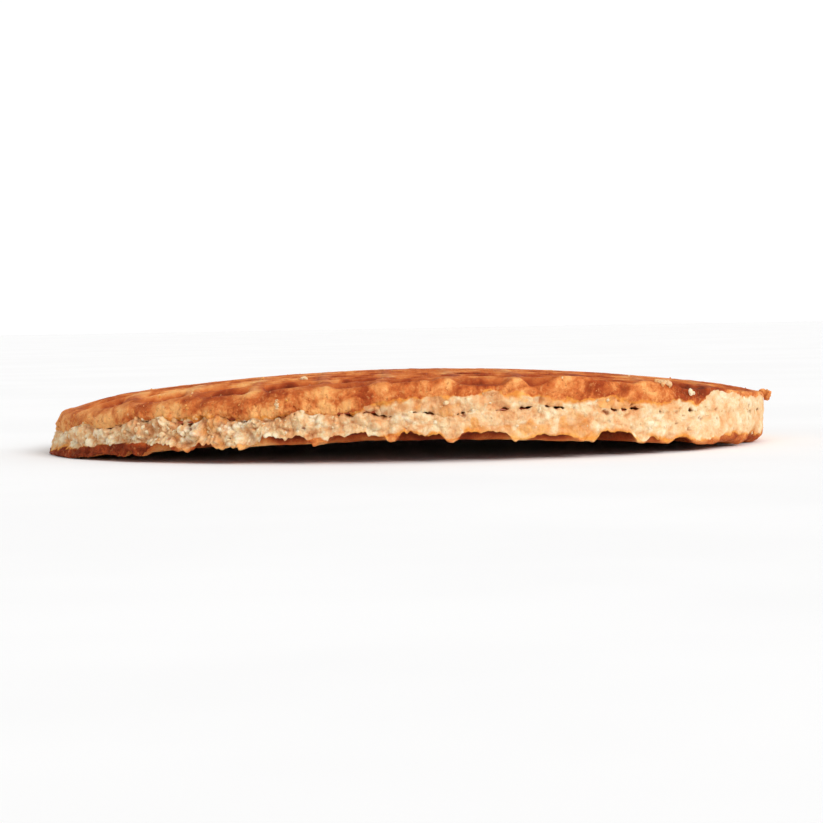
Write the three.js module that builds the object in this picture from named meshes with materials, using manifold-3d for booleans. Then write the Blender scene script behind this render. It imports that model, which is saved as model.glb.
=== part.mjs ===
// Stroopwafel: two thin baked wafer halves with a grid pressed into their
// outer faces, held together by a layer of caramel syrup.
// Millimetres, +Z up.  The wafel lies flat and bows up a little along X, so it
// rests on its left and right ends.  The origin is at the middle of its
// bounding box, on the surface that it lies on.

import * as THREE from 'three';
import { mergeVertices } from 'three/addons/utils/BufferGeometryUtils.js';
import Module from 'manifold-3d';

// ---------------------------------------------------------------- dimensions

const DIAMETER = 90.0;          // the whole, across
const LOWER_DIAMETER = 89.8;
const UPPER_DIAMETER = 88.9;    // the upper half came out a little smaller
const LOWER_SHIFT_X = -0.58;    // how far each half lies off the middle
const UPPER_SHIFT_X = -0.18;
const OUTLINE_WOBBLE = 0.35;    // how far the hand-cut rim strays from a circle

const LOWER_THICKNESS = 3.15;   // ridge tips to the inner face
const LOWER_LEAN = 0.33;        // the lower half is this much thicker at the right rim
const SEAM_MIDDLE = 0.70;       // space between the halves, in the middle
const SEAM_RIM = 0.55;          // the same, at the rim
const SYRUP_CLEARANCE = 0.10;   // syrup to each wafer half
const SYRUP_RADIUS = 44.0;      // the syrup stops just short of the cut rim
const SYRUP_WOBBLE = 0.45;
const TOTAL_THICKNESS = 6.60;   // ridge tip to ridge tip near the middle
const TOTAL_LEAN_X = 0.18;      // more at the right rim, less at the back
const TOTAL_LEAN_Y = -0.23;
const CROWN = 0.48;             // the upper face is fuller in the middle
const CROWN_X = 2.0;            // where it is fullest

const ARCH = 2.35;              // the middle stands this much above the ends
const REST_X = 41.0;            // beyond this the ends lie flat on the ground
const RIM_DROP = 1.75;          // the upper skin rounds down towards the rim,
const RIM_DROP_WIDTH = 9.0;     // from this far in,
const RIM_DROP_AZIMUTH = -29;   // not at all at this side, in degrees,
const RIM_DROP_FROM = 30;       // starting this far round from it
const RIM_DROP_FULL = 140;      // and fully from here

const GRID_PITCH = 7.6;         // pocket to pocket, along X and along Y
const GRID_PHASE_X = 0.70;      // middle of a pocket, measured from X = 0
const GRID_PHASE_Y = 1.60;
const POCKET_MOUTH = 6.6;       // width of a pocket at the ridge tops
const POCKET_FLOOR = 4.8;       // width of its floor
const POCKET_DEPTH = 1.15;
const PLATE_MIN = 0.75;         // the least wafer left under a pocket
const GRID_SKEW = THREE.MathUtils.degToRad(1.5);   // upper grid against the lower

const EDGE_ROUND = 0.35;        // the cut's corners are a little broken
const SEGMENTS = 68;            // round the rim
const SYRUP_SEGMENTS = 44;

// ------------------------------------------------------------ surface levels

const R = DIAMETER / 2;

// the hand-cut outline: a few slow waves round a circle
function wobble(theta, seed) {
  return 0.45 * Math.sin(2 * theta + 0.7 + seed)
       + 0.30 * Math.sin(3 * theta + 2.1 - 1.7 * seed)
       + 0.25 * Math.sin(5 * theta + 0.4 + 2.3 * seed);
}

// underside, at the ridge tips: bowed along X, touching down at the ends
function lowerTips(x) {
  const t = Math.min(1, Math.abs(x) / REST_X);
  return ARCH * (1 - t * t);
}

function lowerInner(x) {
  return lowerTips(x) + LOWER_THICKNESS + LOWER_LEAN * x / R;
}

function seam(x, y) {
  const q = Math.min(1, Math.hypot(x, y) / R);
  return SEAM_MIDDLE + (SEAM_RIM - SEAM_MIDDLE) * q * q;
}

function upperInner(x, y) {
  return lowerInner(x) + seam(x, y);
}

// top side, at the ridge tops
function upperTips(x, y) {
  const r = Math.hypot(x, y);
  const crown = CROWN * (1 - Math.min(1, ((x - CROWN_X) ** 2 + y * y) / (R * R)));
  const near = THREE.MathUtils.clamp((r - (R - RIM_DROP_WIDTH)) / RIM_DROP_WIDTH, 0, 1);
  const azimuth = THREE.MathUtils.radToDeg(Math.atan2(y, x));
  const away = Math.abs(THREE.MathUtils.euclideanModulo(azimuth - RIM_DROP_AZIMUTH + 180, 360) - 180);
  const drop = RIM_DROP * THREE.MathUtils.smoothstep(away, RIM_DROP_FROM, RIM_DROP_FULL);
  return lowerTips(x) + TOTAL_THICKNESS + (TOTAL_LEAN_X * x + TOTAL_LEAN_Y * y) / R
       + crown - drop * near * near;
}

// ------------------------------------------------------------------- helpers

const wasm = await Module();
wasm.setup();

function bare(geometry) {
  const g = geometry.clone();
  for (const name of ['normal', 'uv', 'uv2', 'color']) g.deleteAttribute(name);
  return mergeVertices(g, 1e-4);
}

function toManifold(geometry) {
  const g = bare(geometry);
  return new wasm.Manifold(new wasm.Mesh({
    numProp: 3,
    vertProperties: new Float32Array(g.attributes.position.array),
    triVerts: new Uint32Array(g.index.array),
  }));
}

function fromManifold(solid) {
  const mesh = solid.getMesh();
  const g = new THREE.BufferGeometry();
  g.setAttribute('position', new THREE.BufferAttribute(new Float32Array(mesh.vertProperties), 3));
  g.setIndex(new THREE.BufferAttribute(new Uint32Array(mesh.triVerts), 1));
  g.computeVertexNormals();
  return g;
}

// A sheet of wafer or syrup before it is cut round: a box divided at the grid's
// pitch, so that its two faces can follow the level functions.
function sheet(levelLow, levelHigh, skew) {
  const cells = 2 * Math.ceil(R / GRID_PITCH) + 1;
  const side = cells * GRID_PITCH;
  const g = bare(new THREE.BoxGeometry(side, side, 2, cells, cells, 1));
  g.translate(GRID_PHASE_X, GRID_PHASE_Y, 0);
  g.rotateZ(skew);
  const p = g.attributes.position;
  for (let i = 0; i < p.count; i++) {
    const x = p.getX(i);
    const y = p.getY(i);
    p.setZ(i, p.getZ(i) > 0 ? levelHigh(x, y) : levelLow(x, y));
  }
  return g;
}

// The round cutter: its wall follows the uneven outline, and it leans in above
// and below so that the cut's two corners come out a little broken.
function cutter(radius, centreX, waves, seed, levelLow, levelHigh, round, segments) {
  const lean = 1.0;
  const profile = [
    new THREE.Vector2(0, -2),
    new THREE.Vector2(radius - round - lean, -2),
    new THREE.Vector2(radius, -1),
    new THREE.Vector2(radius, 1),
    new THREE.Vector2(radius - round - lean, 2),
    new THREE.Vector2(0, 2),
  ];
  const g = bare(new THREE.LatheGeometry(profile, segments));
  g.rotateX(Math.PI / 2);
  const p = g.attributes.position;
  for (let i = 0; i < p.count; i++) {
    const side = p.getZ(i);
    let x = p.getX(i);
    let y = p.getY(i);
    if (Math.hypot(x, y) > 1) {
      const grow = 1 + (waves * wobble(Math.atan2(y, x), seed)) / radius;
      x = x * grow + centreX;
      y *= grow;
      p.setX(i, x);
      p.setY(i, y);
    } else {
      p.setZ(i, side * 8);
      continue;
    }
    const broken = Math.min(round, 0.3 * (levelHigh(x, y) - levelLow(x, y)));
    if (side > 1.5) p.setZ(i, levelHigh(x, y) + lean);
    else if (side > 0) p.setZ(i, levelHigh(x, y) - broken);
    else if (side > -1.5) p.setZ(i, levelLow(x, y) + broken);
    else p.setZ(i, levelLow(x, y) - lean);
  }
  return g;
}

// One pocket of the baking iron: a square tapered stud, set to the tilt of the
// face at its place.  up = +1 presses into the top face, -1 into the underside.
function pocketCutter(cx, cy, level, up, depth, skew) {
  const over = 0.5;                               // how far the stud stands out
  const slope = (POCKET_MOUTH - POCKET_FLOOR) / (2 * POCKET_DEPTH);
  const floorHalf = POCKET_FLOOR / 2;
  const mouthHalf = floorHalf + slope * (depth + over);
  const height = depth + over;
  const stud = new THREE.CylinderGeometry(mouthHalf * Math.SQRT2, floorHalf * Math.SQRT2, height, 4, 1);
  stud.rotateY(Math.PI / 4);
  stud.rotateX(Math.PI / 2);                      // mouth towards +Z
  stud.translate(0, 0, over - height / 2);        // floor at -depth
  if (up < 0) stud.rotateX(Math.PI);              // mouth towards -Z

  const e = 1.5;
  const dzdx = (level(cx + e, cy) - level(cx - e, cy)) / (2 * e);
  const dzdy = (level(cx, cy + e) - level(cx, cy - e)) / (2 * e);
  const normal = new THREE.Vector3(-dzdx, -dzdy, 1).normalize();
  const tilt = new THREE.Quaternion().setFromUnitVectors(new THREE.Vector3(0, 0, 1), normal);
  const place = new THREE.Matrix4().makeRotationFromQuaternion(tilt);
  place.multiply(new THREE.Matrix4().makeRotationZ(skew));
  place.setPosition(cx, cy, level(cx, cy));
  stud.applyMatrix4(place);
  return stud;
}

// presses the grid into one face of a half, then cuts the half round
function bake(body, outline, level, up, skew, room) {
  const studs = [];
  const reach = Math.ceil(R / GRID_PITCH) + 1;
  for (let i = -reach; i <= reach; i++) {
    for (let j = -reach; j <= reach; j++) {
      const gx = GRID_PHASE_X + i * GRID_PITCH;
      const gy = GRID_PHASE_Y + j * GRID_PITCH;
      const cx = gx * Math.cos(skew) - gy * Math.sin(skew);
      const cy = gx * Math.sin(skew) + gy * Math.cos(skew);
      const r = Math.hypot(cx, cy);
      if (r > R + POCKET_MOUTH / 2) continue;
      // near the rim the plate under the pocket must stay whole
      const pull = Math.min(1, R / Math.max(r, 1e-6));
      const depth = Math.min(POCKET_DEPTH, room(cx * pull, cy * pull) - PLATE_MIN);
      if (depth < 0.25) continue;
      studs.push(toManifold(pocketCutter(cx, cy, level, up, depth, skew)));
    }
  }
  const pressed = toManifold(body).subtract(wasm.Manifold.union(studs));
  return fromManifold(pressed.intersect(toManifold(outline)));
}

function crust(hex) {
  return new THREE.MeshStandardMaterial({ color: hex, roughness: 0.72, metalness: 0.0 });
}

// -------------------------------------------------------------------- pieces

const lowerLow = (x, y) => lowerTips(x);
const lowerHigh = (x, y) => lowerInner(x);
const wafer_bottom = new THREE.Mesh(
  bake(sheet(lowerLow, lowerHigh, 0),
    cutter(LOWER_DIAMETER / 2, LOWER_SHIFT_X, OUTLINE_WOBBLE, 0.0, lowerLow, lowerHigh, EDGE_ROUND, SEGMENTS),
    lowerLow, -1, 0, (x) => lowerInner(x) - lowerTips(x)),
  crust(0xd9a05b));
wafer_bottom.name = 'wafer_bottom';

const syrupLow = (x, y) => lowerInner(x) + SYRUP_CLEARANCE;
const syrupHigh = (x, y) => upperInner(x, y) - SYRUP_CLEARANCE;
const syrup = new THREE.Mesh(
  fromManifold(toManifold(sheet(syrupLow, syrupHigh, 0)).intersect(toManifold(
    cutter(SYRUP_RADIUS, 0, SYRUP_WOBBLE, 1.3, syrupLow, syrupHigh, 0.1, SYRUP_SEGMENTS)))),
  new THREE.MeshStandardMaterial({ color: 0x8a3d12, roughness: 0.25, metalness: 0.0 }));
syrup.name = 'syrup';

const wafer_top = new THREE.Mesh(
  bake(sheet(upperInner, upperTips, GRID_SKEW),
    cutter(UPPER_DIAMETER / 2, UPPER_SHIFT_X, OUTLINE_WOBBLE, 0.6, upperInner, upperTips, EDGE_ROUND, SEGMENTS),
    upperTips, 1, GRID_SKEW, (x, y) => upperTips(x, y) - upperInner(x, y)),
  crust(0xc9752f));
wafer_top.name = 'wafer_top';

const group = new THREE.Group();
group.name = 'stroopwafel';
group.add(wafer_bottom, syrup, wafer_top);

// set it down: middle of the bounding box over the origin, lowest tips at Z = 0
const extent = new THREE.Box3().setFromObject(group, true);
group.position.set(
  -(extent.min.x + extent.max.x) / 2,
  -(extent.min.y + extent.max.y) / 2,
  -extent.min.z);

export default group;
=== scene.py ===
import math
from itertools import product

import bmesh
import bpy
import numpy as np
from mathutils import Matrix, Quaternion, Vector
from mathutils.geometry import delaunay_2d_cdt


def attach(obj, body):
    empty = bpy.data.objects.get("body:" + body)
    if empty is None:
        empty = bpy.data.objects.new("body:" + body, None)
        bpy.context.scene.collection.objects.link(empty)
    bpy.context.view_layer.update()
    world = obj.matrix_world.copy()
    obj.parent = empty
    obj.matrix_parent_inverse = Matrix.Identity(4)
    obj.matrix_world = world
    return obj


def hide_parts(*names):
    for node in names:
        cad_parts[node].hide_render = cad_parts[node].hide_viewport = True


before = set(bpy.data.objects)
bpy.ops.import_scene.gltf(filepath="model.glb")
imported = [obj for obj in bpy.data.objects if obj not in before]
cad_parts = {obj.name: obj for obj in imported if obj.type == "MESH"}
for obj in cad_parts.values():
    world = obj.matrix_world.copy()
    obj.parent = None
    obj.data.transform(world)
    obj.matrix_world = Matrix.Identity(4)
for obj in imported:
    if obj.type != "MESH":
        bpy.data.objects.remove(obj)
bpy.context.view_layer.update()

# Stroopwafel.  All lengths below are millimetres, in the frame of the packed
# part; meshes are scaled to metres when they are made.

MM = 0.001

# ------------------------------------------------------------------ sizes
# The same named sizes and level functions as the CAD part.

DIAMETER = 90.0
LOWER_DIAMETER = 89.8
UPPER_DIAMETER = 88.9
LOWER_SHIFT_X = -0.58
UPPER_SHIFT_X = -0.18
OUTLINE_WOBBLE = 0.35
LOWER_THICKNESS = 3.15
LOWER_LEAN = 0.33
SEAM_MIDDLE = 0.70
SEAM_RIM = 0.55
SYRUP_CLEARANCE = 0.10
TOTAL_THICKNESS = 6.60
TOTAL_LEAN_X = 0.18
TOTAL_LEAN_Y = -0.23
CROWN = 0.48
CROWN_X = 2.0
ARCH = 2.35
REST_X = 41.0
RIM_DROP = 1.75
RIM_DROP_WIDTH = 9.0
RIM_DROP_AZIMUTH = -29.0
RIM_DROP_FROM = 30.0
RIM_DROP_FULL = 140.0
GRID_PITCH = 7.6
GRID_PHASE_X = 0.70
GRID_PHASE_Y = 1.60
POCKET_MOUTH = 6.6
POCKET_FLOOR = 4.8
POCKET_DEPTH = 1.15
PLATE_MIN = 0.75
GRID_SKEW = math.radians(1.5)
PLACE = np.array([0.428, -0.134, 0.0])         # where the CAD part is set down

R = DIAMETER / 2

# ------------------------------------------------------------------ camera
# The wafel is seen nearly edge-on from the front, from about four diameters.

FRAME = 823.0                 # pixels across the square picture
CAM_DISTANCE = 350.0
CAM_ELEVATION = math.radians(2.0)
CAM_ROLL = math.radians(1.0)
CAM_FOCAL = 2754.0            # pixels
CAM_CENTRE_X = 410.0          # where the part's middle falls
TARGET = (PLACE[0], 0.0, 4.2)

cam_data = bpy.data.cameras.new("camera")
cam = bpy.data.objects.new("camera", cam_data)
bpy.context.scene.collection.objects.link(cam)
bpy.context.scene.camera = cam
cam_data.sensor_width = 36.0
cam_data.lens = CAM_FOCAL / FRAME * 36.0
cam_data.clip_start, cam_data.clip_end = 0.01, 20.0
look = Vector((0, math.cos(CAM_ELEVATION), -math.sin(CAM_ELEVATION)))
cam.location = (Vector(TARGET) - look * CAM_DISTANCE) * MM
cam.rotation_mode = "QUATERNION"
yaw = Quaternion((0, 0, 1), math.atan((CAM_CENTRE_X - FRAME / 2) / CAM_FOCAL))
cam.rotation_quaternion = yaw @ look.to_track_quat("-Z", "Y") @ Quaternion((0, 0, 1), -CAM_ROLL)


# ------------------------------------------------------------------ noise


def _mix(h):
    h = h ^ (h >> np.uint32(16))
    h = h * np.uint32(0x7FEB352D)
    h = h ^ (h >> np.uint32(15))
    h = h * np.uint32(0x846CA68B)
    return h ^ (h >> np.uint32(16))


def _cell(ix, iy, iz, seed):
    return _mix(ix.astype(np.uint32) * np.uint32(0x8DA6B343)
                ^ iy.astype(np.uint32) * np.uint32(0xD8163841)
                ^ iz.astype(np.uint32) * np.uint32(0xCB1AB31F)
                ^ np.uint32((seed * 0x9E3779B1) & 0xFFFFFFFF))


def _rand(h, k):
    return _mix(h + np.uint32((k * 0x9E3779B9) & 0xFFFFFFFF)).astype(np.float64) / 4294967296.0


def vnoise(p, scale, seed):
    """Smooth noise from -1 to 1 at points p, with features about scale wide."""
    q = p / scale
    i = np.floor(q).astype(np.int64)
    f = q - i
    u = f * f * f * (f * (f * 6 - 15) + 10)
    out = np.zeros(len(p))
    for d in product((0, 1), repeat=3):
        w = np.ones(len(p))
        for a in range(3):
            w = w * (u[:, a] if d[a] else 1 - u[:, a])
        out += w * _rand(_cell(i[:, 0] + d[0], i[:, 1] + d[1], i[:, 2] + d[2], seed), 1)
    return out * 2 - 1


def fbm(p, scale, octaves, seed, gain=0.5):
    out, amp, total = 0.0, 1.0, 0.0
    for o in range(octaves):
        out = out + amp * vnoise(p + 17.3 * o, scale / 2 ** o, seed + 31 * o)
        total += amp
        amp *= gain
    return out / total


def warp(p, scale, amount, seed):
    return p + amount * np.stack([vnoise(p + 5.1, scale, seed + k) for k in range(3)], 1)


def chunks(p, cell, seed, tilt=1.0, bulge=1.1, lift=0.6):
    """A surface broken into angular pieces about cell wide: the height in mm, how
    near a crease is (1 in it), and a random tone for each piece."""
    q = p / cell
    i = np.floor(q).astype(np.int64)
    best = np.full(len(p), -9.0)
    second = np.full(len(p), -9.0)
    tone = np.full(len(p), 0.5)
    for d in product((-1, 0, 1), repeat=3):
        c = [i[:, a] + d[a] for a in range(3)]
        h = _cell(c[0], c[1], c[2], seed)
        off = [q[:, a] - (c[a] + 0.1 + 0.8 * _rand(h, a + 1)) for a in range(3)]
        v = lift * _rand(h, 5) - bulge * (off[0] ** 2 + off[1] ** 2 + off[2] ** 2)
        for a in range(3):
            v = v + tilt * (_rand(h, 6 + a) - 0.5) * off[a]
        win = v > best
        second = np.where(win, best, np.maximum(second, v))
        tone = np.where(win, _rand(h, 10), tone)
        best = np.where(win, v, best)
    return (best - 0.25) * cell, 1 - smooth(0.0, 0.22, best - second), tone


def pores(p, cell, seed, share, rmin, rmax):
    """1 in the middle of scattered round pores, falling to 0 at their edge."""
    q = p / cell
    i = np.floor(q).astype(np.int64)
    best = np.zeros(len(p))
    for d in product((-1, 0, 1), repeat=3):
        c = [i[:, a] + d[a] for a in range(3)]
        h = _cell(c[0], c[1], c[2], seed)
        off = [q[:, a] - (c[a] + 0.1 + 0.8 * _rand(h, a + 1)) for a in range(3)]
        r = (rmin + (rmax - rmin) * _rand(h, 4)) / cell
        d2 = off[0] ** 2 + off[1] ** 2 + off[2] ** 2
        v = np.where(_rand(h, 6) < share, 1 - d2 / (r * r), 0.0)
        best = np.maximum(best, v)
    return np.clip(best, 0, 1)


def smooth(a, b, x):
    t = np.clip((x - a) / (b - a), 0.0, 1.0)
    return t * t * (3 - 2 * t)


def around(azimuth, table):
    """Value round the rim from (azimuth in degrees, value) pairs."""
    deg = np.degrees(azimuth) % 360.0
    keys = sorted((k % 360.0, v) for k, v in table)
    xs = [keys[-1][0] - 360.0] + [k for k, _ in keys] + [keys[0][0] + 360.0]
    vs = [keys[-1][1]] + [v for _, v in keys] + [keys[0][1]]
    return np.interp(deg, xs, vs)


# ------------------------------------------------------------ surface levels


def wobble(th, seed):
    return (0.45 * np.sin(2 * th + 0.7 + seed)
            + 0.30 * np.sin(3 * th + 2.1 - 1.7 * seed)
            + 0.25 * np.sin(5 * th + 0.4 + 2.3 * seed))


def outline(th, upper):
    """Radius of a half's outline about the middle."""
    c = UPPER_SHIFT_X if upper else LOWER_SHIFT_X
    r = (UPPER_DIAMETER if upper else LOWER_DIAMETER) / 2
    r = r + OUTLINE_WOBBLE * wobble(th, 0.6 if upper else 0.0)
    return c * np.cos(th) + np.sqrt(r * r - (c * np.sin(th)) ** 2)


def lower_tips(x):
    t = np.minimum(1.0, np.abs(x) / REST_X)
    return ARCH * (1 - t * t)


def seam_gap(x, y):
    q = np.minimum(1.0, np.hypot(x, y) / R)
    return SEAM_MIDDLE + (SEAM_RIM - SEAM_MIDDLE) * q * q


def lower_inner(x, y):
    return lower_tips(x) + LOWER_THICKNESS + LOWER_LEAN * x / R


def upper_inner(x, y):
    return lower_inner(x, y) + seam_gap(x, y)


def upper_tips(x, y):
    r = np.hypot(x, y)
    crown = CROWN * (1 - np.minimum(1.0, ((x - CROWN_X) ** 2 + y * y) / (R * R)))
    near = np.clip((r - (R - RIM_DROP_WIDTH)) / RIM_DROP_WIDTH, 0, 1)
    away = np.abs((np.degrees(np.arctan2(y, x)) - RIM_DROP_AZIMUTH + 180) % 360 - 180)
    drop = RIM_DROP * smooth(RIM_DROP_FROM, RIM_DROP_FULL, away)
    return (lower_tips(x) + TOTAL_THICKNESS + (TOTAL_LEAN_X * x + TOTAL_LEAN_Y * y) / R
            + crown - drop * near * near)


def rim_dip(x, y):
    """The top sinks a little towards the rim at the right."""
    az = (np.degrees(np.arctan2(y, x)) + 180) % 360 - 180
    depth = np.interp(az, [-46, -32, -21, -11, 20, 36], [0.0, 0.20, 0.42, 0.66, 0.66, 0.0])
    return depth * smooth(R - 4.6, R - 0.6, np.hypot(x, y))


def pocket(x, y, skew, seed, shift, slip):
    """0 on the ridges of the grid, 1 on the floors of its pockets; the depth of
    each pocket beside the usual; and a random tone for each."""
    p = np.stack([x, y, np.full_like(x, seed * 3.7)], 1)
    wx = 0.22 * vnoise(p, 9.0, seed) + 0.12 * vnoise(p, 2.7, seed + 3) + 0.06 * vnoise(p, 1.2, seed + 5)
    wy = 0.22 * vnoise(p, 9.0, seed + 1) + 0.12 * vnoise(p, 2.7, seed + 4) + 0.06 * vnoise(p, 1.2, seed + 6)
    u = x * math.cos(skew) + y * math.sin(skew) + wx - shift
    v = -x * math.sin(skew) + y * math.cos(skew) + wy - slip
    iu = np.round((u - GRID_PHASE_X) / GRID_PITCH)
    iv = np.round((v - GRID_PHASE_Y) / GRID_PITCH)
    du = np.abs(u - GRID_PHASE_X - iu * GRID_PITCH)
    dv = np.abs(v - GRID_PHASE_Y - iv * GRID_PITCH)
    h = _cell(iu.astype(np.int64), iv.astype(np.int64), np.zeros(len(x), np.int64), seed + 9)
    a = POCKET_FLOOR / 2 - 0.45 + 0.35 * (_rand(h, 1) - 0.5)
    b = POCKET_MOUTH / 2 + 0.22
    s = smooth(-b, -a, -du) * smooth(-b, -a, -dv)
    return s, 1.0 + 0.40 * (_rand(h, 2) - 0.5), _rand(h, 3)


# ------------------------------------------------------------------ meshes


def hexes(radius, step):
    """Points of a triangular lattice inside a circle."""
    rows = int(radius / (step * 0.866)) + 2
    pts = []
    for j in range(-rows, rows + 1):
        y = j * step * 0.866
        if abs(y) >= radius:
            continue
        half = math.sqrt(radius * radius - y * y)
        n = int(half / step) + 1
        xs = (np.arange(-n, n + 1) + (0.5 if j % 2 else 0.0)) * step
        xs = xs[np.abs(xs) < half]
        pts.append(np.stack([xs, np.full(len(xs), y)], 1))
    return np.concatenate(pts)


def fill_disc(ring, inner):
    """Triangles that fill the closed ring of points, through the inner points.
    Indices count the ring first."""
    pts = np.concatenate([ring, inner])
    n = len(ring)
    edges = [(i, (i + 1) % n) for i in range(n)]
    out = delaunay_2d_cdt([Vector((float(a), float(b))) for a, b in pts], edges, [], 1, 1e-7)
    faces, origin = out[2], out[3]
    back = [o[0] for o in origin]
    return np.array([[back[k] for k in f] for f in faces], dtype=np.int64)


def strips(a, b, n, flip):
    """Quads between two closed rows of n vertices that start at a and b."""
    i = np.arange(n)
    j = (i + 1) % n
    q = np.stack([a + i, a + j, b + j, b + i], 1)
    return q[:, ::-1] if flip else q


def vertex_normals(verts, tris, quads):
    t = np.concatenate([tris, quads[:, [0, 1, 2]], quads[:, [0, 2, 3]]])
    a, b, c = verts[t[:, 0]], verts[t[:, 1]], verts[t[:, 2]]
    facing = np.cross(b - a, c - a)
    out = np.stack([sum(np.bincount(t[:, k], weights=facing[:, axis], minlength=len(verts)) for k in range(3))
                    for axis in range(3)], 1)
    return out / np.maximum(np.linalg.norm(out, axis=1), 1e-12)[:, None]


def make_mesh(name, verts, tris, quads, attributes, material, normals=None):
    me = bpy.data.meshes.new(name)
    loops = np.concatenate([tris.ravel(), quads.ravel()]).astype(np.int32)
    starts = np.concatenate([np.arange(len(tris)) * 3,
                             len(tris) * 3 + np.arange(len(quads)) * 4]).astype(np.int32)
    me.vertices.add(len(verts))
    me.vertices.foreach_set("co", (verts * MM).astype(np.float32).ravel())
    me.loops.add(len(loops))
    me.loops.foreach_set("vertex_index", loops)
    me.polygons.add(len(starts))
    me.polygons.foreach_set("loop_start", starts)
    me.polygons.foreach_set("use_smooth", np.ones(len(starts), dtype=bool))
    me.update(calc_edges=True)
    for key, values in attributes.items():
        at = me.attributes.new(key, "FLOAT", "POINT")
        at.data.foreach_set("value", values.astype(np.float32))
    me.validate()
    if normals is not None:
        me.normals_split_custom_set_from_vertices(normals.tolist())
    ob = bpy.data.objects.new(name, me)
    bpy.context.scene.collection.objects.link(ob)
    me.materials.append(material)
    print(name, "triangles", len(tris) + 2 * len(quads))
    return ob


# ------------------------------------------------------------------ the cut rim


def nicks(th, seed):
    """Small flats and nicks that the cutter left."""
    p = np.stack([R * np.cos(th), R * np.sin(th), np.zeros_like(th)], 1)
    return 0.10 * vnoise(p, 7.0, seed) + 0.07 * vnoise(p, 2.2, seed + 1) - 0.06


def join_radius(th):
    """Radius at which the two halves meet."""
    join = np.minimum(outline(th, True), outline(th, False)) + nicks(th, 7)
    return join - 0.10 * smooth(2.6, 3.0, th) * (1 - smooth(3.35, 3.9, th))


def azimuth_at(columns):
    """Azimuths of the points on the near rim that fall at the given columns."""
    columns = np.asarray(columns, float)
    a = np.full(len(columns), -math.pi / 2)
    for _ in range(30):
        r = join_radius(a % (2 * math.pi))
        depth = CAM_DISTANCE + PLACE[1] + r * np.sin(a)
        x = np.clip((columns - CAM_CENTRE_X) * depth / CAM_FOCAL, 1e-3 - r, r - 1e-3)
        a = np.arctan2(-np.sqrt(r * r - x * x), x)
    turn = math.asin(R / CAM_DISTANCE)           # where the rim turns out of sight
    return np.clip(a, turn - math.pi, -turn)


def dial(columns, degrees):
    """Table of (azimuth in degrees, value), from columns of the near rim for the
    side in view and from azimuths for the rest."""
    at = np.degrees(azimuth_at([px for px, _ in columns])) % 360.0
    return [(float(k), v) for k, (_, v) in zip(at, columns)] + list(degrees)


# Where the front shows dark slits in the seam: (column, half width in columns,
# height in mm).  The rest of the rim gets slits at random.

FRONT_SLITS = [
    (107, 4, 0.14), (187, 4, 0.28), (198, 3, 0.16), (245, 8, 0.26), (338, 3, 0.16), (347, 8, 0.34), (366, 5, 0.26),
    (374, 6, 0.34), (383, 6, 0.24), (390, 4, 0.12), (415, 4, 0.10), (423, 4, 0.18), (430, 6, 0.28), (439, 4, 0.12),
    (458, 2.5, 0.16), (463, 3, 0.34), (469, 2.5, 0.14), (499, 4, 0.16), (505, 5, 0.34), (522, 5, 0.40),
    (529, 5, 0.28), (548, 4, 0.24), (556, 5, 0.38), (563, 3, 0.20), (615, 4.2, 0.85), (625, 3.6, 0.55), (637, 6, 0.28),
    (661, 1.6, 0.24), (691, 2.4, 0.34),
]


def slit_table():
    px, hw, high = (np.array(v, float) for v in zip(*FRONT_SLITS))
    half = np.abs(azimuth_at(px + hw) - azimuth_at(px - hw)) / 2
    slits = [(float(a), float(w), float(h), 0.0) for a, w, h in zip(azimuth_at(px), half, high)]
    rng = np.random.default_rng(11)
    a = math.radians(-28)
    while a < math.radians(190):
        a += float(rng.uniform(0.05, 0.24))
        for _ in range(int(rng.integers(1, 4))):
            a += float(rng.uniform(0.012, 0.022))
            slits.append((a, float(rng.uniform(0.005, 0.016)), float(rng.uniform(0.14, 0.40)),
                          float(rng.uniform(-0.3, 0.3))))
    return slits


SLITS = slit_table()


def slit_height(th, p=None):
    out = np.zeros(len(th))
    for a, half, h, _ in SLITS:
        d = np.abs((th - a + math.pi) % (2 * math.pi) - math.pi) / half
        out = np.maximum(out, h * np.clip(1 - d ** 1.6, 0, 1))
    if p is None:
        return out
    return out * np.clip(1 + 0.6 * vnoise(p, 0.6, 71) + 0.6 * vnoise(p, 0.26, 72), 0.3, 1.8)


# How far the join strays from half way between the inner faces, in mm.
SEAM_LIFT = dial([(62, -0.30), (70, 0.10), (80, 0.35), (90, 0.35), (98, 0.10), (115, 0.05), (124, 0.20), (132, 0.60),
                  (138, 0.60), (143, 0.30), (160, 0.25), (172, -0.10), (182, -0.45), (190, -0.35), (203, 0.10),
                  (218, 0.05), (228, -0.35), (250, -0.40), (270, -0.60), (281, -0.50), (292, -0.15), (341, -0.15),
                  (354, -0.30), (361, 0.0), (366, 0.13), (372, -0.15), (380, -0.43), (388, -0.62), (404, -0.50),
                  (412, -0.20), (421, 0.0), (430, -0.30), (436, -0.48), (445, -0.83), (452, -0.75), (460, -0.35),
                  (470, -0.20), (497, -0.10), (508, 0.15), (521, 0.0), (532, 0.35), (546, 0.40), (557, 0.22),
                  (600, 0.17), (622, 0.05), (637, 0.34), (661, 0.10), (691, 0.30), (760, 0.40)],
                 [(0, 0.3), (20, 0.0), (90, 0.0), (178, 0.0)])


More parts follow.
